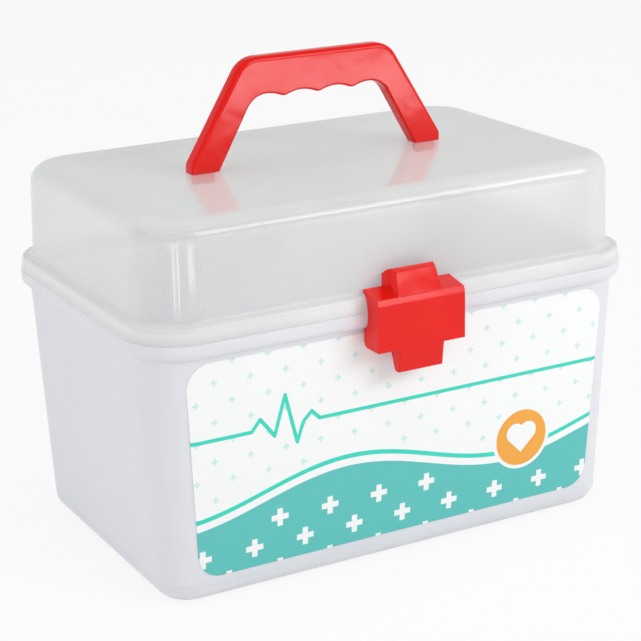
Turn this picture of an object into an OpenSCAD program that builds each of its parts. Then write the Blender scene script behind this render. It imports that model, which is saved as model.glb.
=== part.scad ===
// Toy doctor case: a white tub with a frosted lid hinged at the back, a red carrying
// handle snapped through the lid, a red cross-shaped latch and a paper label in front.
// Millimetres. +Z is up, the front faces -Y, the origin is the middle of the tub's base.

/* [Case] */
// Length of the case over its rim
case_length = 250; // [200:1:320]
// Depth of the case over its rim
case_depth = 162.5; // [130:0.5:210]
// Corner radius of the rim, seen from above
corner_radius = 25; // [20:0.5:34]
// Wall thickness of the tub and the lid
wall = 2.1; // [1.6:0.1:2.6]

/* [Tub] */
// Height of the tub up to the parting plane
tub_height = 121.3; // [95:1:170]
// How far the tub's walls lean in on each side, from the rim down to the base
tub_draft = 5.7; // [3:0.1:8]
// Radius round the tub's bottom edge
base_fillet = 8.75; // [5:0.25:10]
// Height of the flared rim
rim_height = 7.6; // [6:0.1:11]
// How far the rim stands out from the tub's wall
rim_overhang = 4.1; // [3.2:0.1:5]

/* [Lid] */
// Height of the lid above the parting plane, without the handle
lid_height = 50.2; // [38:1:80]
// Height of the lid's skirt
skirt_height = 6.9; // [6:0.1:12]
// How far the skirt leans in between its lower and its upper edge
skirt_draft = 1; // [0.4:0.1:1.4]
// How far the lid's wall stands in from the rim, at its foot
lid_inset = 4.8; // [4.4:0.1:6]
// How far the lid's walls lean in on each side, from foot to top
lid_draft = 1.5; // [0.6:0.1:3]
// Corner radius of the lid's wall at its foot
lid_corner = 24; // [20:0.5:30]
// Radius of the cove between the skirt and the wall
cove_radius = 2.3; // [1.5:0.1:2.3]
// Radius round the lid's top edge
top_fillet = 8.75; // [5:0.25:11]
// Depth of the locating tongue inside the tub's rim
tongue_depth = 2.4; // [1.5:0.1:3]
// Thickness of the locating tongue
tongue_wall = 1.5; // [1.2:0.1:2]
// Gap between the tongue and the rim
tongue_gap = 0.4; // [0.3:0.05:0.8]

/* [Handle] */
// Width of the handle over its feet
handle_width = 129.8; // [100:1:150]
// Width of the handle's top between its shoulders
top_width = 75.2; // [64:0.2:88]
// Height of the handle above the lid
handle_height = 49.3; // [44:0.5:60]
// Thickness of the handle, front to back
handle_thick = 8; // [7:0.5:12]
// Width of each foot
foot_width = 13.8; // [12:0.5:20]
// How far the handle's middle sits behind the lid's middle
handle_back = 1.2; // [0:0.1:8]
// Height of the grip bar between its grooves and the top
grip_height = 17; // [14:0.2:22]
// Distance between two finger grooves
groove_pitch = 17.6; // [15:0.1:19]
// Depth of a finger groove
groove_depth = 1.8; // [1:0.1:2.4]
// Radius of the shoulders
shoulder_radius = 13; // [6:0.5:16]
// Bevel along the grip's upper edges
grip_bevel = 2.3; // [1.2:0.1:3]
// Bevel along the finger grooves
groove_bevel = 0.9; // [0.5:0.1:1.4]
// Bevel along the legs' edges
leg_bevel = 1.5; // [0.6:0.1:2]
// Width of the snap prong under each foot
prong_width = 9; // [6:0.5:11]
// Gap round a prong in its slot
prong_gap = 0.3; // [0.2:0.05:0.6]

/* [Latch] */
// Width of the latch over its side arms
latch_width = 43.8; // [36:0.2:60]
// Width of the latch's stem
stem_width = 22.2; // [18:0.2:28]
// Height of the side arms
arm_height = 23.3; // [21:0.1:25]
// How far the side arms reach below the parting plane
arm_drop = 16; // [13:0.1:18]
// How far the stem's tip reaches below the parting plane
stem_drop = 26.8; // [22:0.2:36]
// How far the front of the latch stands out from the rim
latch_stand = 9.2; // [8:0.1:11]
// How far the top of the stem reaches above the lid's shelf
stem_rise = 12.4; // [11:0.1:15]
// Wall thickness of the latch
latch_wall = 1.7; // [1.4:0.1:2.2]
// Radius of the latch's pivot pins
pivot_radius = 1.5; // [1.2:0.1:1.8]
// Gap between the latch and the parts behind it
latch_gap = 0.35; // [0.3:0.05:0.6]

/* [Hinge] */
// Distance between the two hinges
hinge_spacing = 130; // [90:1:150]
// Length of one hinge barrel
barrel_length = 18; // [12:0.5:26]
// Radius of the hinge pins
pin_radius = 2.5; // [2:0.1:3]
// Radius of the hinge barrels
barrel_radius = 4.2; // [3.8:0.1:5]
// Radial gap between a pin and its barrel, and between the latch's pins and their lugs
pin_gap = 0.06; // [0.02:0.01:0.1]
// Thickness of the lugs that hold a hinge pin
lug_thick = 4.5; // [3:0.5:7]
// Gap between moving hinge faces
hinge_gap = 0.4; // [0.3:0.05:0.8]
// How far the lid opens, in degrees
lid_opening = 110; // [95:1:120]

/* [Label] */
// Distance from the label's edge to the end of the tub's front wall, on each side
label_margin = 14.5; // [10:0.5:30]
// Height of the label's lower edge
label_bottom = 12; // [10:0.5:25]
// Distance from the label's upper edge to the rim
label_top_gap = 2.4; // [1.5:0.1:20]
// Corner radius of the label
label_corner = 11; // [4:0.5:16]
// Thickness of the label
label_thick = 0.3; // [0.2:0.05:0.5]

/* [Hidden] */
$fn = 64;

white = [0.90, 0.91, 0.94];
frosted = [0.86, 0.87, 0.86, 0.6];
red = [0.86, 0.12, 0.10];
paper = [0.97, 0.98, 0.98];

far = 400;                 // longer than any part, for cutting shapes
rim_x = case_length / 2;
rim_y = case_depth / 2;

// The rectangle of corner centres that the tub and the skirt are swept round
core_x = rim_x - corner_radius;
core_y = rim_y - corner_radius;

// The tub's section, as [distance out from the core rectangle, height]
rim_bottom = tub_height - rim_height;
wall_top = corner_radius - rim_overhang;
wall_foot = wall_top - tub_draft;
tub_lean = atan(tub_draft / rim_bottom);
base_arc = base_fillet_centre(base_fillet);
rim_arc = [wall_top, rim_bottom + rim_overhang];

// The lid's section, as [distance out from its own core rectangle, height above the parting]
lid_half_x = rim_x - lid_inset;
lid_half_y = rim_y - lid_inset;
lid_core_x = lid_half_x - lid_corner;
lid_core_y = lid_half_y - lid_corner;
lid_lean = atan(lid_draft / (lid_height - skirt_height));
skirt_round = 1.4;                         // round along the skirt's upper edge
cove_reach = min(cove_radius, lid_inset - skirt_draft - skirt_round - 0.1);
shelf_z = tub_height + skirt_height;
lid_top = tub_height + lid_height;

// The hinge's axis lies behind the rim, level with the parting plane
hinge_offset = barrel_radius + hinge_gap;
hinge_y = rim_y + hinge_offset;
hinge_z = tub_height;
stop_gap = 0.1;                            // from the open lid's skirt to its stops

// The front of the skirt and of the lid's wall, as places along Y
skirt_front = -rim_y;
wall_front = -lid_half_y;

// The latch's side view: named corners as [y, z]
latch_front = skirt_front - latch_stand;
arm_bottom = tub_height - arm_drop;
arm_top = arm_bottom + arm_height;
stem_bottom = tub_height - stem_drop;
stem_top = shelf_z + stem_rise;
tip_lean = 1.5;                            // how far the stem's tip leans back
tip_thick = 3;                             // thickness of the stem's tip
crease = arm_top - 2.4;                    // height where the front starts to lean back
lean_slope = 0.42;                         // how far it leans back per mm of height
latch_back = skirt_front - latch_gap;
pivot_y = wall_front - 5.2;
pivot_z = stem_top - 6.4;
head_back = wall_front - 0.75;             // back of the stem's head
wing_back = wall_front - 1.25;             // back of the side arms' top
wing_z = shelf_z + 2.8;                    // and its height there
rim_turn = [-core_y - wall_top, rim_arc[1]];   // middle of the rim's flare, as [y, z]
stem_back_half = stem_width / 2 + 1.2;     // the stem widens towards the lid
stem_top_half = stem_width / 2 - 1.2;      // and narrows towards its top
ear_out = stem_width / 2 - 3;              // outer face of the lid's ears, inside the stem
ear_thick = 2.6;                           // thickness of an ear
ear_wall = 1;                              // material round the hole in an ear
catch_half = 8;                            // half the length of the catch under the rim
catch_thick = 2.6;                         // thickness of the catch
catch_reach = 2.4;                         // how far it reaches in under the rim

// The handle's front view
prong_leg = 1.7;                           // thickness of one leg of a prong
prong_thick = 4.8;                         // a prong's two legs and the gap between them
barb = 0.6;                                // how far a barb catches under the lid
barb_gap = 0.15;                           // from the lid's underside to the barbs
barb_length = 2.8;

// Distance out from the core to the centre of the arc between the base and the wall
function base_fillet_centre(r) =
    [(wall_foot * cos(tub_lean) - r + r * sin(tub_lean)) / cos(tub_lean), r];

// The outer face of the tub's wall at a height
function wall_out(z) = wall_foot + tub_draft * z / rim_bottom;

// ---- Outlines --------------------------------------------------------------------

// A sector of a disc, from one angle to another, less than half a turn apart
module sector(centre, radius, from, to) {
    mid = (from + to) / 2;
    reach = 3 * radius;
    translate(centre) intersection() {
        circle(r = radius);
        polygon([[0, 0], reach * [cos(from), sin(from)], reach * [cos(mid), sin(mid)],
                 reach * [cos(to), sin(to)]]);
    }
}

// A band of a ring, from one angle to another
module ring_band(centre, outer, inner, from, to) {
    difference() {
        sector(centre, outer, from, to);
        translate(centre) circle(r = inner);
    }
}

// The round between an upright face and a level face, drawn outside a disc
module cove(centre, radius, corner) {
    difference() {
        polygon([corner, [centre[0], corner[1]], centre, [corner[0], centre[1]]]);
        translate(centre) circle(r = radius);
    }
}

// Sweeps an outline drawn as [distance out, height] round a rectangle of corner centres
module sweep(half_x, half_y) {
    for (turn = [0, 180]) rotate([0, 0, turn]) {
        translate([-half_x, half_y, 0]) rotate([90, 0, 90])
            linear_extrude(height = 2 * half_x) children();
        translate([half_x, half_y, 0]) rotate_extrude(angle = 90) children();
        translate([-half_x, half_y, 0]) rotate([0, 0, 90])
            rotate_extrude(angle = 90) children();
        rotate([0, 0, -90]) translate([-half_y, half_x, 0]) rotate([90, 0, 90])
            linear_extrude(height = 2 * half_y) children();
    }
}

// A bar along X with the outline [y, z] as its section
module bar_x(from, to) {
    translate([from, 0, 0]) rotate([90, 0, 90]) linear_extrude(height = to - from) children();
}

// ---- Tub -------------------------------------------------------------------------

// The tub's wall with its base round, drawn as [distance out, height]
module tub_section() {
    n = [cos(tub_lean), -sin(tub_lean)];           // square to the wall, outwards
    foot = base_arc + base_fillet * n;
    square([base_arc[0], wall]);
    ring_band(base_arc, base_fillet, base_fillet - wall, -90, -tub_lean);
    polygon([foot, [wall_top, rim_bottom], [wall_top, rim_bottom + wall],
             [wall_top - wall, rim_bottom + wall], foot - wall * n]);
    ring_band(rim_arc, rim_overhang, rim_overhang - wall, -90, 0);
    translate([corner_radius - wall, rim_arc[1]])
        square([wall, tub_height - rim_arc[1]]);
}

// Where a point goes when the lid is wide open, as [y, z] from the hinge's axis
function opened(p) = [p[0] * cos(lid_opening) + p[1] * sin(lid_opening),
                      p[1] * cos(lid_opening) - p[0] * sin(lid_opening)];

// The two lugs and the pin of one hinge. The lugs reach back under the open lid's skirt,
// which rests on them.
module tub_hinge() {
    reach = barrel_length / 2 + hinge_gap;
    stop_low = opened([stop_gap - hinge_offset, 0]);
    stop_tip = opened([stop_gap - hinge_offset - skirt_draft, skirt_height - skirt_round]);
    root_y = -hinge_offset - wall / 2;
    for (side = [0, 1]) mirror([side, 0, 0])
        bar_x(reach, reach + lug_thick) translate([hinge_y, hinge_z]) {
            circle(r = barrel_radius);
            polygon([[root_y, rim_arc[1] - hinge_z], [0, -barrel_radius], [0, 0],
                     [root_y, -hinge_gap]]);
            polygon([[0, 0], stop_low, stop_tip,
                     0.8 * [stop_tip[0], -barrel_radius], [0, -barrel_radius]]);
        }
    translate([-reach - lug_thick / 2, hinge_y, hinge_z]) rotate([0, 90, 0])
        cylinder(r = pin_radius, h = 2 * reach + lug_thick);
}

module tub() {
    color(white) {
        sweep(core_x, core_y) tub_section();
        translate([-core_x, -core_y, 0]) cube([2 * core_x, 2 * core_y, wall]);
        for (side = [-1, 1]) translate([side * hinge_spacing / 2, 0, 0]) tub_hinge();
    }
}

// ---- Label -----------------------------------------------------------------------

module label_outline() {
    low = label_bottom + label_corner;
    high = rim_bottom - label_top_gap - label_corner;
    for (z = [low, high]) {
        half = core_x + wall_out(z) - label_margin - label_corner;
        for (side = [-1, 1]) translate([side * half, z]) circle(r = label_corner);
    }
}

module front_label() {
    color(paper) intersection() {
        sweep(core_x, core_y) polygon([
            [wall_out(label_bottom / 2), label_bottom / 2],
            [wall_out(label_bottom / 2) + label_thick, label_bottom / 2],
            [wall_top + label_thick, rim_bottom],
            [wall_top, rim_bottom]]);
        translate([0, -core_y, 0]) rotate([90, 0, 0]) linear_extrude(height = far)
            hull() label_outline();
    }
}

// ---- Lid -------------------------------------------------------------------------

// The skirt, its shelf and the tongue, swept round the tub's core rectangle
module skirt_section() {
    top_out = corner_radius - skirt_draft;
    edge_out = top_out - skirt_round;
    edge_z = skirt_height - skirt_round;
    inner = corner_radius - wall - tongue_gap;   // outer face of the tongue
    polygon([[corner_radius, 0], [top_out, edge_z], [edge_out, edge_z],
             [edge_out, skirt_height], [top_out - wall - 1, skirt_height],
             [top_out - wall - 1, skirt_height - wall],
             [top_out - wall, skirt_height - wall], [corner_radius - wall, 0]]);
    sector([edge_out, edge_z], skirt_round, 0, 90);
    // the tongue, and the root that joins it to the skirt
    polygon([[inner, -tongue_depth], [inner, 0], [corner_radius - wall / 2, 0],
             [corner_radius - wall / 2, tongue_wall], [inner - tongue_wall, tongue_wall],
             [inner - tongue_wall, -tongue_depth]]);
}

// The cove, the wall and the top round, swept round the lid's own core rectangle
module dome_section() {
    n = [cos(lid_lean), sin(lid_lean)];          // square to the wall, outwards
    up = [-n[1], n[0]];                          // along the wall, upwards
    arc_z = lid_height - top_fillet;
    arc = [(lid_corner * cos(lid_lean) - top_fillet - (arc_z - skirt_height) * sin(lid_lean))
           / cos(lid_lean), arc_z];
    shoulder = arc + top_fillet * n;
    foot = [lid_corner, skirt_height];
    // a tooth in the middle of the wall's upper end reaches into the round
    polygon([foot, shoulder, shoulder - wall / 2 * n + wall / 4 * up, shoulder - wall * n,
             [lid_corner - wall, skirt_height - wall], [lid_corner, skirt_height - wall]]);
    ring_band(arc, top_fillet, top_fillet - wall, lid_lean, 90);
    translate([0, lid_height - wall]) square([arc[0], wall]);
    // the shelf reaches out under the cove to the skirt
    translate([lid_corner - wall, skirt_height - wall]) square([wall + cove_reach, wall]);
    cove([lid_corner + cove_reach, skirt_height + cove_reach], cove_reach,
         [lid_corner - wall / 2, skirt_height]);
}

// Closes the shelf in the corners, where the skirt and the wall turn on different centres
module shelf_ring() {
    inset = skirt_draft + skirt_round + 0.3;
    translate([0, 0, shelf_z - wall]) linear_extrude(height = wall) difference() {
        rounded_plate(rim_x - inset, rim_y - inset, corner_radius - inset);
        rounded_plate(lid_half_x - wall, lid_half_y - wall, lid_corner - wall);
    }
}

module rounded_plate(half_x, half_y, r) {
    square([2 * (half_x - r), 2 * half_y], center = true);
    square([2 * half_x, 2 * (half_y - r)], center = true);
    for (sx = [-1, 1], sy = [-1, 1])
        translate([sx * (half_x - r), sy * (half_y - r)]) circle(r = r);
}

// One hinge barrel: an open clip that snaps over the tub's pin, and the arm to the skirt
module lid_hinge() {
    mouth = 1.7 * pin_radius;
    mouth_angle = -60;
    root_y = -hinge_offset - skirt_draft - wall / 2;
    translate([0, hinge_y, hinge_z]) bar_x(-barrel_length / 2, barrel_length / 2)
        difference() {
            union() {
                circle(r = barrel_radius);
                polygon([[root_y, 0], [-pin_radius, 0], [0, barrel_radius],
                         [root_y, skirt_height - skirt_round]]);
            }
            circle(r = pin_radius + pin_gap);
            rotate(mouth_angle) translate([0, -mouth / 2])
                square([2 * barrel_radius, mouth]);
        }
}

// The ear on the shelf that stands inside the latch's stem, with the hole for its pin
module latch_ear() {
    bar_x(ear_out - ear_thick, ear_out) difference() {
        hull() {
            translate([pivot_y, pivot_z]) circle(r = pivot_radius + ear_wall);
            translate([skirt_front + skirt_draft + 0.7, shelf_z - wall / 2])
                square([1.6, wall / 2]);
        }
        translate([pivot_y, pivot_z]) circle(r = pivot_radius + pin_gap);
    }
}

module handle_slots() {
    size = [prong_width, prong_thick] + 2 * prong_gap * [1, 1];
    for (side = [-1, 1])
        translate([side * (handle_width - foot_width) / 2, handle_back, lid_top - wall / 2])
            cube([size[0], size[1], 2 * wall], center = true);
}

module lid() {
    color(frosted) {
        difference() {
            union() {
                translate([0, 0, tub_height]) {
                    sweep(core_x, core_y) skirt_section();
                    sweep(lid_core_x, lid_core_y) dome_section();
                }
                shelf_ring();
                translate([-lid_core_x, -lid_core_y, lid_top - wall])
                    cube([2 * lid_core_x, 2 * lid_core_y, wall]);
            }
            handle_slots();
        }
        for (side = [-1, 1]) translate([side * hinge_spacing / 2, 0, 0]) lid_hinge();
        for (side = [0, 1]) mirror([side, 0, 0]) latch_ear();
    }
}

// ---- Handle ----------------------------------------------------------------------

// Points of the arc that rounds the corner b between a and c
function round_corner(a, b, c, r, steps) =
    let (u = (a - b) / norm(a - b),
         v = (c - b) / norm(c - b),
         half = acos(u * v) / 2,
         centre = b + (u + v) / norm(u + v) * r / sin(half),
         p = b + u * r / tan(half) - centre,
         q = b + v * r / tan(half) - centre,
         from = atan2(p[1], p[0]),
         turn = atan2(p[0] * q[1] - p[1] * q[0], p * q))
    [for (i = [0 : steps])
        centre + r * [cos(from + turn * i / steps), sin(from + turn * i / steps)]];

function reversed(points) = [for (i = [len(points) - 1 : -1 : 0]) points[i]];
function mirrored(points) = [for (p = points) [-p[0], p[1]]];

// Depth of the finger grooves at x: 0 in the middle of a groove, 1 on the bump between two
function groove(x) =
    let (u = abs(x / groove_pitch - floor(x / groove_pitch) - 0.5) * 2)
    (u < 0.8 ? u * u : 0.8 - 4 * (1 - u) * (1 - u)) / 0.8;

// The handle's front view as [x, height above the lid], with the feet run on below 0.
// Its outer and its inner edge are drawn from the middle to the right foot with the same
// number of points, so that strips between the two fill its flat faces.
leg_run = 6;
groove_steps = 18;
top_steps = groove_steps / 2;
foot_outer = handle_width / 2;
foot_inner = foot_outer - foot_width;
groove_top = handle_height - grip_height;
heel = [foot_outer, 3.9];
shoulder = [top_width / 2, handle_height];
top_reach = shoulder[0] - 0.75 * shoulder_radius;   // the top is straight this far
last_groove = 1.5 * groove_pitch;
crotch = [last_groove + 6.5, groove_top];
leg_in = foot_inner - crotch[0];           // run of the leg's inner edge
crotch_radius = 6.3 * tan(acos(-leg_in / norm([leg_in, groove_top])) / 2);

outer_half = concat(
    [for (i = [0 : top_steps]) [i * top_reach / top_steps, handle_height]],
    round_corner([0, handle_height], shoulder, heel, shoulder_radius, 12),
    round_corner(shoulder, heel, [foot_outer, -leg_run], 4, 4),
    [[foot_outer, -leg_run]]);
inner_half = concat(
    [for (i = [0 : groove_steps]) let (x = i * last_groove / groove_steps)
        [x, groove_top - groove_depth * groove(x)]],
    round_corner([0, groove_top], crotch, [foot_inner, 0], crotch_radius, 8),
    [[foot_inner + leg_run * leg_in / groove_top, -leg_run]]);
handle_outline = concat(
    reversed(outer_half), [for (i = [1 : len(outer_half) - 1]) mirrored(outer_half)[i]],
    reversed(mirrored(inner_half)), [for (i = [1 : len(inner_half) - 1]) inner_half[i]]);

// How wide the bevel is at a height: on the legs, along the grooves and above them
function bevel_at(z) =
    let (t = min(1, max(0, (z - 0.72 * groove_top) / (0.2 * groove_top))))
    z > groove_top + 1 ? grip_bevel : leg_bevel + (groove_bevel - leg_bevel) * t;

// Moves each point of a closed outline inwards by a share of its bevel
function inset(points, share) =
    let (n = len(points))
    [for (i = [0 : n - 1])
        let (a = points[(i + n - 1) % n],
             b = points[i],
             c = points[(i + 1) % n],
             u = (b - a) / norm(b - a),
             v = (c - b) / norm(c - b),
             nu = [-u[1], u[0]],
             nv = [-v[1], v[0]])
        b + (nu + nv) / (1 + nu * nv) * share * bevel_at(b[1])];

// A plate with this outline, its front and back edges rounded off: each ring of points
// has a share of the bevel that it moves in, and one that it moves back. The first half of
// the outline's points faces the second half, and strips between the two close the ends.
module bevelled_plate(outline, thick) {
    steps = [[1, 0], [0.6, 0.25], [0.25, 0.6], [0, 1]];
    n = len(outline);
    front = [for (s = steps) let (ring = inset(outline, s[0]))
        [for (i = [0 : n - 1]) [ring[i][0], s[1] * bevel_at(outline[i][1]), ring[i][1]]]];
    back = [for (ring = reversed(front)) [for (p = ring) [p[0], thick - p[1], p[2]]]];
    rings = concat(front, back);
    end = (len(rings) - 1) * n;
    strip = [for (i = [0 : n / 2 - 2]) let (j = n - 1 - i)
        each [[i, i + 1, j], [i + 1, j - 1, j]]];
    polyhedron(
        points = [for (ring = rings) each ring],
        faces = concat(
            [for (t = strip) reversed(t)],
            [for (t = strip) [for (i = t) end + i]],
            [for (k = [0 : n : end - n]) for (i = [0 : n - 1]) let (j = (i + 1) % n)
                each [[k + i, k + j, k + n + j], [k + i, k + n + j, k + n + i]]]));
}

// Two legs that pass through a slot of the lid and catch under it
module snap_prong() {
    outer = prong_thick / 2;
    under = -wall - barb_gap;
    tip = under - barb_length;
    for (side = [0, 1]) mirror([0, side, 0]) bar_x(-prong_width / 2, prong_width / 2)
        polygon([[outer - prong_leg, 2], [outer, 2], [outer, under], [outer + barb, under],
                 [outer + barb, under - barb], [outer - barb, tip],
                 [outer - prong_leg, tip]]);
}

module handle() {
    color(red) translate([0, 0, lid_top]) {
        intersection() {
            translate([0, handle_back - handle_thick / 2, 0])
                bevelled_plate(handle_outline, handle_thick);
            translate([-far / 2, -far / 2, 0]) cube(far);
        }
        for (side = [-1, 1])
            translate([side * (foot_outer - foot_width / 2), handle_back, 0]) snap_prong();
    }
}

// ---- Latch -----------------------------------------------------------------------

// A block given by its corners: four below and four above, as a convex solid
module block(corners) {
    hull() polyhedron(points = corners, faces = [[0, 1, 2, 3], [7, 6, 5, 4], [0, 4, 5, 1],
                                                 [1, 5, 6, 2], [2, 6, 7, 3], [3, 7, 4, 0]]);
}

// Where the leaning part of the front is at a height
function front_at(z) = latch_front + lean_slope * max(0, z - crease);

// The upper part of the stem, moved in by t on the front, the sides and the top
module stem_head(t) {
    low = crease - 1;
    back_y = head_back + 2 * t;
    top_front = stem_top - 2.3 - t;
    top_back = stem_top - t;
    front_half = stem_width / 2 - t;
    back_half = stem_back_half - t;
    head_half = stem_top_half - t;
    block([[-front_half, latch_front + t, low], [front_half, latch_front + t, low],
           [back_half, back_y, low], [-back_half, back_y, low],
           [-head_half, front_at(top_front) + t, top_front],
           [head_half, front_at(top_front) + t, top_front],
           [back_half, back_y, top_back], [-back_half, back_y, top_back]]);
}

// What is cut from the head: room for the lid's shelf and cove, its back corner, which
// turns past the lid's wall, and the gap in its top above the ears
module head_room() {
    bar_x(-far / 2, far / 2) polygon([
        [latch_back, crease - 9], [latch_back, tub_height + 0.7],
        [wing_back - 3, shelf_z - 1.4], [wing_back - 1.6, shelf_z + 0.55],
        [head_back, shelf_z + 2.2], [head_back + 9, shelf_z + 2.2],
        [head_back + 9, crease - 9]]);
    bar_x(-far / 2, far / 2) translate([pivot_y, pivot_z]) polygon([
        [-1, 4.95], [0.8, 4.9], [head_back - pivot_y, 2.2], [9, 2.2], [9, 12], [-1, 12]]);
    bar_x(-ear_out - 0.4, ear_out + 0.4) translate([pivot_y + 1.5, pivot_z - 5])
        square([12, 12]);
}

// The side arms' outline as [y, z]. It reaches back over the lid's shelf, passes in front
// of the skirt and the rim, and hooks in under the rim.
module arm_outline() {
    flare = rim_overhang + latch_gap;
    hook = rim_turn[0] - flare * cos(75);
    polygon(concat(
        [[latch_front, arm_bottom], [latch_front, crease], [front_at(arm_top), arm_top],
         [wing_back, wing_z], [wing_back, shelf_z + 1.2], [wing_back - 1.6, shelf_z + 0.55],
         [wing_back - 3, shelf_z - 1.4], [latch_back, tub_height + 0.7]],
        [for (a = [0 : 15 : 75]) rim_turn - flare * [cos(a), sin(a)]],
        [[hook, arm_bottom + 2.4], [hook - 0.7, arm_bottom + 0.8], [hook - 2.2, arm_bottom]]));
}

// The hollow behind the arms' front, top and bottom
module arm_hollow(t) {
    polygon([[latch_front + t, arm_bottom + t], [latch_front + t, crease],
             [front_at(arm_top) + t, arm_top - t],
             [wing_back + 3, wing_z - t + 0.6], [wing_back + 3, arm_bottom + t]]);
}

// The stem's section below the arms as [y, z], moved in by t at the front and the tip
module tip_section(t) {
    polygon([[latch_front + tip_lean + t, stem_bottom + t],
             [latch_front + t, arm_bottom], [latch_front + t, crease],
             [latch_back + 2 * t, crease], [latch_back + 2 * t, arm_bottom],
             [latch_front + tip_lean + tip_thick + 2 * t, stem_bottom + t]]);
}

module latch() {
    arm_half = latch_width / 2;
    stem_half = stem_width / 2;
    catch_top = rim_bottom - latch_gap;
    catch_tip = skirt_front + catch_reach;
    pin_tip = ear_out - ear_thick + 0.2;
    color(red) {
        difference() {
            union() {
                bar_x(-arm_half, arm_half) arm_outline();
                bar_x(-stem_half, stem_half) tip_section(0);
                difference() {
                    stem_head(0);
                    head_room();
                }
            }
            bar_x(-arm_half + latch_wall, arm_half - latch_wall) arm_hollow(latch_wall);
            bar_x(-stem_half + latch_wall, stem_half - latch_wall) tip_section(latch_wall);
            stem_head(latch_wall);
        }
        for (side = [0, 1]) mirror([side, 0, 0])
            translate([pin_tip, pivot_y, pivot_z]) rotate([0, 90, 0])
                cylinder(r = pivot_radius, h = stem_half - 0.5 - pin_tip);
        // the catch that clips under the rim
        bar_x(-catch_half, catch_half)
            polygon([[latch_front + latch_wall / 2, catch_top - catch_thick - 1.5],
                     [catch_tip, catch_top - catch_thick + 0.6], [catch_tip, catch_top - 0.5],
                     [catch_tip - 0.5, catch_top], [latch_front + latch_wall / 2, catch_top]]);
    }
}

tub();
front_label();
lid();
handle();
latch();
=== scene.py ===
"""Toy doctor case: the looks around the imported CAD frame. Metres, +Z up, the front faces -Y."""

import math

import bmesh
import bpy
from mathutils import Matrix, Vector


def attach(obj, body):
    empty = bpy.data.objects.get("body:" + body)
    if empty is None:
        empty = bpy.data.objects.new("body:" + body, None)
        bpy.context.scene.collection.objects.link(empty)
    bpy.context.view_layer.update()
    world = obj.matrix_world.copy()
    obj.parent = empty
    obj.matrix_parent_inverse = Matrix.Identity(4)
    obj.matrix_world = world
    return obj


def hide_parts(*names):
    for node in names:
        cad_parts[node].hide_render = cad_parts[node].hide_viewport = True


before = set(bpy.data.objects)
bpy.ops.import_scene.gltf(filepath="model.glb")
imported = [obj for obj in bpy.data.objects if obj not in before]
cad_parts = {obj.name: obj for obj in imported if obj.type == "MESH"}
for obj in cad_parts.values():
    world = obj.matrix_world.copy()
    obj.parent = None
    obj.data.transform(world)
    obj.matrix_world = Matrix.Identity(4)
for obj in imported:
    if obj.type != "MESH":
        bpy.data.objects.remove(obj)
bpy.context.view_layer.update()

# ---- Camera ------------------------------------------------------------------------

IMAGE_PX = 641
FOCAL_PX = 1904.85
SENSOR_MM = 36.0
CAMERA_AT = Vector((-0.41205, -0.75068, 0.37053))
YAW = math.radians(28.75)
PITCH = math.radians(18.03)
ROLL = math.radians(-1.173)


def make_camera():
    """The camera at the photograph's place, with its focal length and slight roll."""
    ahead = Vector((math.sin(YAW) * math.cos(PITCH), math.cos(YAW) * math.cos(PITCH),
                    -math.sin(PITCH)))
    level = Vector((math.cos(YAW), -math.sin(YAW), 0))
    upright = level.cross(ahead)
    right = level * math.cos(ROLL) + upright * math.sin(ROLL)
    up = upright * math.cos(ROLL) - level * math.sin(ROLL)
    data = bpy.data.cameras.new("camera")
    data.sensor_width = SENSOR_MM
    data.lens = FOCAL_PX / IMAGE_PX * SENSOR_MM
    camera = bpy.data.objects.new("camera", data)
    bpy.context.scene.collection.objects.link(camera)
    turn = Matrix((right, up, -ahead)).transposed()
    camera.matrix_world = Matrix.Translation(CAMERA_AT) @ turn.to_4x4()
    bpy.context.scene.camera = camera


# ---- Node helpers ------------------------------------------------------------------


class Nodes:
    """Builds the node tree of a material or a world with short calls."""

    def __init__(self, owner, output="OutputMaterial"):
        owner.use_nodes = True
        self.owner = owner
        self.tree = owner.node_tree
        self.tree.nodes.clear()
        self.output = self.add(output)

    def add(self, kind, inputs=None, **settings):
        """A node with its settings and its inputs, which are values or sockets."""
        node = self.tree.nodes.new("ShaderNode" + kind)
        for key, value in settings.items():
            setattr(node, key, value)
        for key, value in (inputs or {}).items():
            self.put(node.inputs[key], value)
        return node

    def put(self, socket, value):
        if isinstance(value, bpy.types.NodeSocket):
            self.tree.links.new(value, socket)
        else:
            socket.default_value = value

    def math(self, operation, *values, clamp=False):
        node = self.add("Math", dict(enumerate(values)), operation=operation)
        node.use_clamp = clamp
        return node.outputs[0]

    def least(self, *values):
        return self.chain("MINIMUM", values)

    def most(self, *values):
        return self.chain("MAXIMUM", values)

    def chain(self, operation, values):
        result = values[0]
        for value in values[1:]:
            result = self.math(operation, result, value)
        return result

    def mix(self, amount, below, above):
        node = self.add("Mix", data_type="RGBA")
        self.put(node.inputs["Factor"], amount)
        self.put(node.inputs["A"], below)
        self.put(node.inputs["B"], above)
        return node.outputs["Result"]

    def place(self):
        """The surface point in metres and its X, Y and Z, which move with the piece."""
        point = self.add("TexCoord").outputs["Object"]
        return point, self.add("SeparateXYZ", {0: point}).outputs

    def noise(self, point, scale, detail=2.0):
        node = self.add("TexNoise", {"Vector": point, "Scale": scale, "Detail": detail})
        return node.outputs["Fac"]

    def ramp(self, value, low, high, to_low=0.0, to_high=1.0):
        node = self.add("MapRange", {"Value": value, "From Min": low, "From Max": high,
                                     "To Min": to_low, "To Max": to_high})
        return node.outputs["Result"]

    def bump(self, height, distance, strength=1.0, edge=0.0005):
        """Bumps over normals that are rounded along the sharp edges."""
        rounded = self.add("Bevel", {"Radius": edge}, samples=6).outputs["Normal"]
        return self.add("Bump", {"Height": height, "Distance": distance,
                                 "Strength": strength, "Normal": rounded}).outputs["Normal"]

    def surface(self, shader):
        self.tree.links.new(shader.outputs[0], self.output.inputs["Surface"])
        return self.owner


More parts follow.
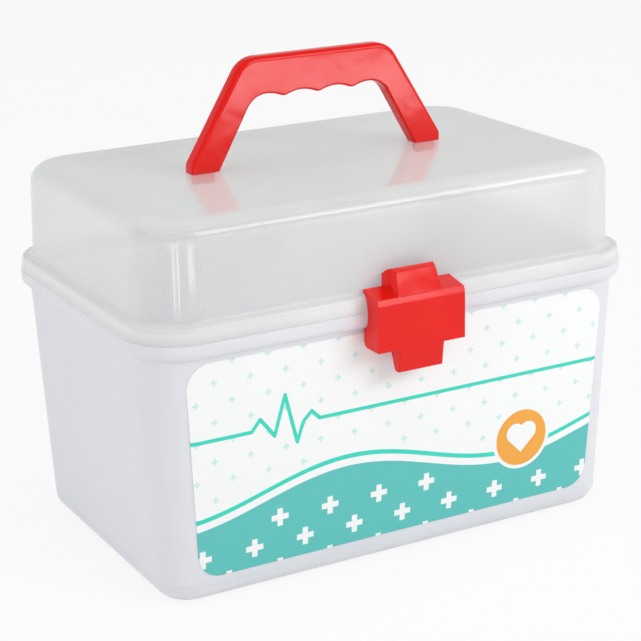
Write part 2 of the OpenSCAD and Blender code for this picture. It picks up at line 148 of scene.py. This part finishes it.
def material(name):
    return Nodes(bpy.data.materials.new(name))


def rgb(red, green, blue):
    """A colour written as sRGB, 0 to 255, in the linear values that sockets hold."""
    def linear(value):
        share = value / 255
        return share / 12.92 if share <= 0.04045 else ((share + 0.055) / 1.055) ** 2.4
    return (linear(red), linear(green), linear(blue), 1.0)


# ---- Plastics ----------------------------------------------------------------------


def tub_plastic():
    """White polypropylene with a soft gloss."""
    n = material("tub_plastic")
    point, _ = n.place()
    grain = n.noise(point, 2600.0, 3.0)
    waves = n.noise(point, 22.0, 2.0)
    return n.surface(n.add("BsdfPrincipled", {
        "Base Color": n.mix(n.ramp(waves, 0.3, 0.7), rgb(227, 228, 234), rgb(231, 232, 237)),
        "Roughness": n.ramp(waves, 0.3, 0.7, 0.30, 0.38),
        "IOR": 1.49,
        "Subsurface Weight": 0.15,
        "Subsurface Radius": (0.004, 0.004, 0.005),
        "Subsurface Scale": 1.0,
        "Normal": n.bump(grain, 0.00003, 0.4),
    }))


# The heights between which the skirt's doubled milkiness fades out, in metres.
SKIRT_TOP, SKIRT_FADE_END = 0.1262, 0.1300


def lid_plastic():
    """Frosted clear polypropylene, smooth outside."""
    n = material("lid_plastic")
    point, (_, _, z) = n.place()
    haze = n.noise(point, 14.0, 3.0)
    grain = n.noise(point, 1800.0, 2.0)
    # Frosted plastic is milkier seen aslant and where the skirt and the tongue double it.
    facing = n.add("LayerWeight", {"Blend": 0.5}).outputs["Facing"]
    aslant = n.ramp(facing, 0.0, 1.0, 0.26, 0.60)
    doubled = n.ramp(z, SKIRT_TOP, SKIRT_FADE_END, 0.22, 0.0)
    milky = n.math("ADD", n.math("ADD", aslant, doubled), n.ramp(haze, 0.3, 0.7, -0.02, 0.02))
    # It scatters most of the light on inwards, so it hardly shades what is inside.
    path = n.add("LightPath").outputs
    passing = n.math("MAXIMUM", path["Is Shadow Ray"], path["Is Diffuse Ray"])
    shading = n.math("SUBTRACT", 1.0, n.math("MULTIPLY", passing, 0.7))
    return n.surface(n.add("BsdfPrincipled", {
        "Base Color": n.mix(haze, rgb(240, 243, 242), rgb(245, 246, 243)),
        "Alpha": n.math("MULTIPLY", milky, shading),
        "Roughness": n.ramp(haze, 0.3, 0.7, 0.10, 0.15),
        "IOR": 1.5,
        "Specular IOR Level": 0.6,
        "Coat Weight": 0.5,
        "Coat Roughness": 0.05,
        "Coat IOR": 1.5,
        "Normal": n.bump(grain, 0.00002, 0.3),
    }))


def red_plastic():
    """Glossy red plastic with the slight swell of a moulded surface."""
    n = material("red_plastic")
    point, _ = n.place()
    flow = n.noise(point, 45.0, 2.0)
    swell = n.noise(point, 110.0, 1.0)
    return n.surface(n.add("BsdfPrincipled", {
        "Base Color": n.mix(flow, rgb(230, 18, 11), rgb(238, 24, 16)),
        "Roughness": n.ramp(flow, 0.3, 0.7, 0.10, 0.16),
        "IOR": 1.5,
        "Specular IOR Level": 0.3,
        "Subsurface Weight": 0.06,
        "Subsurface Radius": (0.004, 0.001, 0.001),
        "Subsurface Scale": 1.0,
        "Normal": n.bump(swell, 0.0004, 0.35),
    }))


# ---- The label's print -------------------------------------------------------------
# Fields are in millimetres, above 0 inside a shape. The design is generic: a teal wave
# with white plus signs, a thin stripe, a pulse line, and a heart on an orange disc.


def inside(n, field):
    """How far a field is inside its shape, with a soft edge of 0.2 mm."""
    return n.ramp(field, -0.1, 0.1)


def disc(n, u, v, radius):
    far = n.math("SQRT", n.math("ADD", n.math("MULTIPLY", u, u), n.math("MULTIPLY", v, v)))
    return n.math("SUBTRACT", radius, far)


def plus_sign(n, u, v, reach, half):
    across, up = n.math("ABSOLUTE", u), n.math("ABSOLUTE", v)
    return n.least(n.math("SUBTRACT", reach, n.most(across, up)),
                   n.math("SUBTRACT", half, n.least(across, up)))


def tiled(n, value, pitch, start=0.0):
    """A coordinate that repeats each pitch, and is 0 in the middle of each tile."""
    return n.math("WRAP", n.math("SUBTRACT", value, start), pitch / 2, -pitch / 2)


def staggered(n, u, v, pitch, rise, start, reach, half, room):
    """Plus signs in rows, with each other row moved on by half a pitch. A sign shows where
    room, a field, is above 0 in its middle."""
    rows = []
    for shift, lift in ((0.0, 0.0), (pitch / 2, rise)):
        across, up = tiled(n, u, pitch, shift), tiled(n, v, 2 * rise, start + lift)
        middle = room(n.math("SUBTRACT", u, across), n.math("SUBTRACT", v, up))
        shown = n.math("MULTIPLY", middle, 10.0)
        rows.append(n.least(plus_sign(n, across, up, reach, half), shown))
    return n.most(*rows)


def heart(n, u, v, size):
    """A heart whose tip is at the origin and whose lobes reach up to about 1.1 sizes."""
    a = n.math("DIVIDE", n.math("ABSOLUTE", u), size)
    b = n.math("DIVIDE", v, size)
    point = n.least(n.math("SUBTRACT", n.math("SUBTRACT", 1.0, a), b),
                    n.math("SUBTRACT", b, a))
    lobe = disc(n, n.math("SUBTRACT", a, 0.25), n.math("SUBTRACT", b, 0.75), 0.3536)
    return n.math("MULTIPLY", n.most(point, lobe), size)


def segment(n, u, v, start, end, half):
    """A straight stroke with round ends."""
    du, dv = end[0] - start[0], end[1] - start[1]
    pu, pv = n.math("SUBTRACT", u, start[0]), n.math("SUBTRACT", v, start[1])
    along = n.math("ADD", n.math("MULTIPLY", pu, du), n.math("MULTIPLY", pv, dv))
    share = n.math("DIVIDE", along, du * du + dv * dv, clamp=True)
    return disc(n, n.math("SUBTRACT", pu, n.math("MULTIPLY", share, du)),
                n.math("SUBTRACT", pv, n.math("MULTIPLY", share, dv)), half)


WAVE_HEIGHT, WAVE_SWING, WAVE_LENGTH, WAVE_START = 42.0, -8.0, 168, 14.0
STRIPE_ABOVE_WAVE, STRIPE_HALF = 4.6, 1.1
SIGN_ROOM, FAINT_ROOM = 6.5, 9.5
PULSE = ((-110, 0), (-76, 0), (-72, 5), (-68, 0), (-65, -4), (-60, 14), (-54, -9), (-51, 0),
         (-47, 4), (-43, 0), (110, 0))
PULSE_HEIGHT, PULSE_HALF = 76.0, 0.9
DISC_AT, DISC_RADIUS, RING_RADIUS = (64.0, 44.0), 13.8, 15.5
HEART_SIZE, HEART_DROP = 13.5, 7.4


def wave(n, u, v):
    """How far a point is above the wave along the top of the teal band."""
    turn = n.math("MULTIPLY", n.math("SUBTRACT", u, WAVE_START), 2 * math.pi / WAVE_LENGTH)
    swing = n.math("MULTIPLY", n.math("SINE", turn), WAVE_SWING)
    return n.math("SUBTRACT", n.math("SUBTRACT", v, WAVE_HEIGHT), swing)


def label_print():
    """The label's paper with its layers of print, from the faint signs to the heart."""
    n = material("label_paper")
    point, (x, _, z) = n.place()
    u, v = n.math("MULTIPLY", x, 1000.0), n.math("MULTIPLY", z, 1000.0)
    grain = n.noise(point, 900.0, 3.0)
    white, teal, pale_teal = rgb(250, 251, 251), rgb(91, 196, 191), rgb(205, 238, 235)
    turquoise, orange = rgb(48, 218, 194), rgb(247, 170, 60)

    above = wave(n, u, v)
    band = n.math("MULTIPLY", above, -1.0)
    off_stripe = n.math("ABSOLUTE", n.math("SUBTRACT", above, STRIPE_ABOVE_WAVE))
    stripe = n.math("SUBTRACT", STRIPE_HALF, off_stripe)
    # Only signs whose middle is this far from the wave show, so that it cuts none.
    signs = staggered(n, u, v, pitch=25.0, rise=12.0, start=21.0, reach=4.2, half=1.35,
                      room=lambda a, b: n.math("SUBTRACT", -SIGN_ROOM, wave(n, a, b)))
    faint = staggered(n, u, v, pitch=17.0, rise=9.0, start=3.0, reach=1.5, half=0.45,
                      room=lambda a, b: n.math("SUBTRACT", wave(n, a, b), FAINT_ROOM))
    pv = n.math("SUBTRACT", v, PULSE_HEIGHT)
    pulse = n.most(*(segment(n, u, pv, start, end, PULSE_HALF)
                     for start, end in zip(PULSE, PULSE[1:])))
    du, dv = n.math("SUBTRACT", u, DISC_AT[0]), n.math("SUBTRACT", v, DISC_AT[1])
    ring, round_patch = disc(n, du, dv, RING_RADIUS), disc(n, du, dv, DISC_RADIUS)
    beat = heart(n, du, n.math("ADD", dv, HEART_DROP), HEART_SIZE)

    paint = white
    for field, colour in ((faint, pale_teal), (band, teal), (signs, white),
                          (stripe, turquoise), (pulse, turquoise), (ring, white),
                          (round_patch, orange), (beat, white)):
        paint = n.mix(inside(n, field), paint, colour)
    return n.surface(n.add("BsdfPrincipled", {
        "Base Color": paint,
        "Roughness": n.ramp(grain, 0.3, 0.7, 0.30, 0.36),
        "Normal": n.bump(grain, 0.00002, 0.3, 0.0002),
    }))


# ---- Handle ------------------------------------------------------------------------
# The same form and sizes as the CAD handle, in millimetres, with its edges rounded finer.

LID_TOP = 171.5
HANDLE_WIDTH, HANDLE_HEIGHT, HANDLE_THICK, HANDLE_BACK = 129.8, 49.3, 8.0, 1.2
TOP_WIDTH, FOOT_WIDTH, GRIP_HEIGHT = 75.2, 13.8, 17.0
GROOVE_PITCH, GROOVE_DEPTH, SHOULDER_RADIUS = 17.6, 1.8, 13.0
GRIP_BEVEL, GROOVE_BEVEL, LEG_BEVEL = 2.3, 0.9, 1.5
HEEL_HEIGHT, HEEL_RADIUS = 3.9, 4.0
CROTCH_OFFSET, CROTCH_TANGENT = 6.5, 6.3
GROOVE_TOP = HANDLE_HEIGHT - GRIP_HEIGHT
# The bump between two grooves starts at this share of half a pitch, and bends this much.
BUMP_FROM, BUMP_BEND = 0.8, 4
# The legs' bevel blends into the grooves' over these shares of the groove's height.
BLEND_FROM, BLEND_SPAN = 0.72, 0.2
SHOULDER_STEPS, HEEL_STEPS, GROOVE_STEPS, CROTCH_STEPS, BEVEL_STEPS = 16, 6, 48, 12, 6
# One half of a split prong in (y, z), from its middle and from the lid's top.
PRONG = ((0.7, 1.0), (2.4, 1.0), (2.4, -2.25), (3.0, -2.25), (3.0, -2.85), (1.8, -5.05),
         (0.7, -5.05))
PRONG_AT, PRONG_HALF_LENGTH = 58.0, 4.5
MM = 0.001
SMOOTH_BELOW = math.radians(35)


def round_corner(before, corner, after, radius, steps):
    """Points of the arc that rounds a corner between its two neighbours."""
    u, v = (before - corner).normalized(), (after - corner).normalized()
    half = u.angle(v) / 2
    centre = corner + (u + v).normalized() * radius / math.sin(half)
    start = corner + u * radius / math.tan(half) - centre
    end = corner + v * radius / math.tan(half) - centre
    turn = math.atan2(start.cross(end), start.dot(end))
    return [centre + Matrix.Rotation(turn * i / steps, 2) @ start for i in range(steps + 1)]


def groove(x):
    """0 in the middle of a finger groove, 1 on the bump between two."""
    share = x / GROOVE_PITCH
    u = abs(share - math.floor(share) - 0.5) * 2
    return (u * u if u < BUMP_FROM else BUMP_FROM - BUMP_BEND * (1 - u) ** 2) / BUMP_FROM


def bevel_at(z):
    """How wide the rounded edge is: on the legs, along the grooves and above them."""
    if z > GROOVE_TOP + 1:
        return GRIP_BEVEL
    share = min(1, max(0, (z - BLEND_FROM * GROOVE_TOP) / (BLEND_SPAN * GROOVE_TOP)))
    return LEG_BEVEL + (GROOVE_BEVEL - LEG_BEVEL) * share


def handle_outline():
    """The handle's front view as (x, height above the lid), round the whole edge."""
    foot_outer = HANDLE_WIDTH / 2
    foot_inner = foot_outer - FOOT_WIDTH
    top, shoulder = Vector((0, HANDLE_HEIGHT)), Vector((TOP_WIDTH / 2, HANDLE_HEIGHT))
    heel, toe = Vector((foot_outer, HEEL_HEIGHT)), Vector((foot_outer, 0))
    last_groove = 1.5 * GROOVE_PITCH
    crotch = Vector((last_groove + CROTCH_OFFSET, GROOVE_TOP))
    inner_toe = Vector((foot_inner, 0))
    run = inner_toe - crotch
    crotch_radius = CROTCH_TANGENT * math.tan(math.acos(-run.x / run.length) / 2)
    outer = ([top] + round_corner(top, shoulder, heel, SHOULDER_RADIUS, SHOULDER_STEPS)
             + round_corner(shoulder, heel, toe, HEEL_RADIUS, HEEL_STEPS) + [toe])
    grooves = [last_groove * i / GROOVE_STEPS for i in range(GROOVE_STEPS + 1)]
    inner = ([Vector((x, GROOVE_TOP - GROOVE_DEPTH * groove(x))) for x in grooves]
             + round_corner(Vector((0, GROOVE_TOP)), crotch, inner_toe, crotch_radius,
                            CROTCH_STEPS)
             + [inner_toe])
    over = outer[::-1] + [Vector((-p.x, p.y)) for p in outer[1:]]
    under = [Vector((-p.x, p.y)) for p in inner[::-1]] + inner[1:]
    return over + under


def inset(points, share):
    """The outline with each point moved inwards by a share of its rounded edge."""
    moved = []
    for i, here in enumerate(points):
        u = (here - points[i - 1]).normalized()
        v = (points[(i + 1) % len(points)] - here).normalized()
        across = Vector((-u.y, u.x)) + Vector((-v.y, v.x))
        foot = here.y < 0.01
        step = across / (1 + u.dot(v)) * share * bevel_at(here.y)
        moved.append(here + (Vector((step.x, 0)) if foot else step))
    return moved


def prism(mesh, section, half, middle):
    """A section in (y, z) that runs along X."""
    ends = [[mesh.verts.new((middle + side * half, y, z)) for y, z in section]
            for side in (-1, 1)]
    mesh.faces.new(ends[0])
    mesh.faces.new(ends[1][::-1])
    for i in range(len(section)):
        j = (i + 1) % len(section)
        mesh.faces.new((ends[0][j], ends[0][i], ends[1][i], ends[1][j]))


def bar(mesh):
    """The bar from front to back, as rings of its outline that step out round the edges."""
    outline = handle_outline()
    half_rings = []
    for k in range(BEVEL_STEPS + 1):
        angle = math.radians(90) * k / BEVEL_STEPS
        ring = inset(outline, 1 - math.sin(angle))
        half_rings.append([(p.x, (1 - math.cos(angle)) * bevel_at(q.y), p.y)
                           for p, q in zip(ring, outline)])
    rings = half_rings + [[(x, HANDLE_THICK - y, z) for x, y, z in ring]
                          for ring in half_rings[::-1]]
    front = HANDLE_BACK - HANDLE_THICK / 2
    rings = [[mesh.verts.new((x, y + front, z + LID_TOP)) for x, y, z in ring]
             for ring in rings]
    mesh.faces.new(rings[0])
    mesh.faces.new(rings[-1][::-1])
    for low, high in zip(rings, rings[1:]):
        for i in range(len(low)):
            j = (i + 1) % len(low)
            mesh.faces.new((low[i], low[j], high[j], high[i]))


def make_handle(red):
    """The bar with its split prongs, in place of the CAD handle."""
    mesh = bmesh.new()
    bar(mesh)
    for middle in (-PRONG_AT, PRONG_AT):
        for side in (-1, 1):
            section = [(HANDLE_BACK + side * y, z + LID_TOP) for y, z in PRONG]
            prism(mesh, section, PRONG_HALF_LENGTH, middle)
    bmesh.ops.recalc_face_normals(mesh, faces=mesh.faces)
    bmesh.ops.scale(mesh, vec=(MM, MM, MM), verts=mesh.verts)
    for edge in mesh.edges:
        edge.smooth = edge.calc_face_angle(0) < SMOOTH_BELOW
    for face in mesh.faces:
        face.smooth = True
    data = bpy.data.meshes.new("grip_handle")
    mesh.to_mesh(data)
    mesh.free()
    piece = bpy.data.objects.new("grip_handle", data)
    bpy.context.scene.collection.objects.link(piece)
    piece.modifiers.new("even", "WEIGHTED_NORMAL").keep_sharp = True
    data.materials.append(red)
    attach(piece, "lid_body")
    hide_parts("handle")


# ---- Stage -------------------------------------------------------------------------

AMBIENT = 0.60
WHITE = (1.0, 1.0, 1.0, 1.0)
FLOOR_HALF, FLOOR_GLOW = 12.0, 0.85
FLOOR_DIMMED, WORLD_DIMMED = 0.7, 0.35
HORIZON_MIRRORED, SKY_MIRRORED = 0.85, 0.35


def through_lid(n, path, amount):
    """The amount for rays that passed the frosted lid, and 0 for others."""
    return n.math("MULTIPLY", n.math("MINIMUM", path["Transparent Depth"], 1.0), amount)


def seen_rays(n):
    """1 for rays that show the background: from the camera, a reflection or a refraction.
    It is less through the frosted lid, which dims what is behind it."""
    path = n.add("LightPath").outputs
    seen = n.most(path["Is Camera Ray"], path["Is Glossy Ray"], path["Is Transmission Ray"])
    clear = n.math("SUBTRACT", 1.0, through_lid(n, path, FLOOR_DIMMED))
    return n.math("MULTIPLY", seen, clear)


def make_floor():
    """A floor that shows as white and keeps the case's shadow."""
    half = FLOOR_HALF
    mesh = bpy.data.meshes.new("floor")
    mesh.from_pydata([(-half, -half, 0), (half, -half, 0), (half, half, 0), (-half, half, 0)],
                     [], [(0, 1, 2, 3)])
    floor = bpy.data.objects.new("floor", mesh)
    bpy.context.scene.collection.objects.link(floor)
    n = material("floor")
    paint = n.add("BsdfDiffuse", {"Color": (0.9, 0.9, 0.9, 1.0)})
    glow = n.add("Emission", {"Color": WHITE, "Strength": 1.0})
    amount = n.math("MULTIPLY", seen_rays(n), FLOOR_GLOW)
    mixed = n.add("MixShader", {0: amount, 1: paint.outputs[0], 2: glow.outputs[0]})
    mesh.materials.append(n.surface(mixed))


def make_world():
    """White behind the case, an even light on it, and a bright horizon in its reflections."""
    world = bpy.data.worlds.new("studio")
    bpy.context.scene.world = world
    n = Nodes(world, "OutputWorld")
    path = n.add("LightPath").outputs
    height = n.add("SeparateXYZ", {0: n.add("TexCoord").outputs["Generated"]}).outputs["Z"]
    mirrored = n.ramp(height, 0.0, 0.5, HORIZON_MIRRORED, SKY_MIRRORED)
    extra = n.math("MULTIPLY", path["Is Glossy Ray"], n.math("SUBTRACT", mirrored, AMBIENT))
    strength = n.math("ADD", extra, AMBIENT)
    dimmed = through_lid(n, path, WORLD_DIMMED)
    shown = n.most(strength, n.math("SUBTRACT", path["Is Camera Ray"], dimmed))
    tint = n.mix(path["Is Glossy Ray"], WHITE, (0.92, 0.97, 1.0, 1.0))
    n.surface(n.add("Background", {"Color": tint, "Strength": shown}))


def make_lamp(name, place, aim, size, power, kind):
    """A softbox of size (width, height) at place that faces aim. A "mirrored" one only shows
    in reflections and adds no light, and a "fill" adds light and shows in none."""
    data = bpy.data.lights.new(name, "AREA")
    data.shape = "RECTANGLE"
    data.size, data.size_y = size
    data.energy = power
    lamp = bpy.data.objects.new(name, data)
    bpy.context.scene.collection.objects.link(lamp)
    lamp.location = place
    lamp.rotation_euler = (Vector(aim) - Vector(place)).to_track_quat("-Z", "Y").to_euler()
    lamp.visible_camera = False
    lamp.visible_diffuse = kind != "mirrored"
    lamp.visible_glossy = kind != "fill"


LAMPS = (
    ("key", (0.52, -0.95, 0.70), (0.0, 0.0, 0.12), (0.8, 0.36), 5.2, "softbox"),
    ("left", (-1.3, -0.25, 0.45), (0.0, 0.0, 0.1), (0.7, 0.7), 3.0, "fill"),
    ("top", (0.0, 0.1, 1.5), (0.0, 0.0, 0.1), (1.0, 1.0), 2.4, "fill"),
    ("grip_glow", (0.275, -0.504, 0.098), (0.0, 0.0, 0.2), (0.2, 0.045), 0.21, "mirrored"),
    ("corner_patch", (-0.085, -0.50, 0.06), (-0.1, -0.08, 0.14), (0.09, 0.03), 0.055,
     "mirrored"),
    ("corner_strip", (-0.397, -0.49, 0.06), (-0.118, -0.075, 0.145), (0.035, 0.09), 0.09,
     "mirrored"),
    ("corner_strip", (-0.323, -0.53, 0.06), (-0.118, -0.075, 0.145), (0.035, 0.09), 0.09,
     "mirrored"),
)


def make_stage():
    make_floor()
    make_world()
    for lamp in LAMPS:
        make_lamp(*lamp)
    bpy.context.scene.view_settings.view_transform = "Standard"


# ---- The case ----------------------------------------------------------------------

SURFACES = {
    "tub": tub_plastic,
    "front_label": label_print,
    "lid": lid_plastic,
    "handle": red_plastic,
    "latch": red_plastic,
}
LATCH_EDGE = 0.0007


def dress(node, surface):
    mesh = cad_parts[node].data
    mesh.materials.clear()
    mesh.materials.append(surface)


def round_edges(node, width):
    """Rounds the sharp edges of a CAD node's surface with modifiers."""
    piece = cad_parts[node]
    piece.modifiers.new("join", "WELD").merge_threshold = 0.00001
    flat = piece.modifiers.new("flat", "DECIMATE")
    flat.decimate_type = "DISSOLVE"
    flat.angle_limit = math.radians(1)
    edges = piece.modifiers.new("edges", "BEVEL")
    edges.width = width
    edges.segments = 3
    edges.limit_method = "ANGLE"
    edges.angle_limit = math.radians(25)
    piece.modifiers.new("even", "WEIGHTED_NORMAL").keep_sharp = True


make_camera()
made = {maker: maker() for maker in dict.fromkeys(SURFACES.values())}
for node, maker in SURFACES.items():
    dress(node, made[maker])
make_handle(made[red_plastic])
round_edges("latch", LATCH_EDGE)
make_stage()
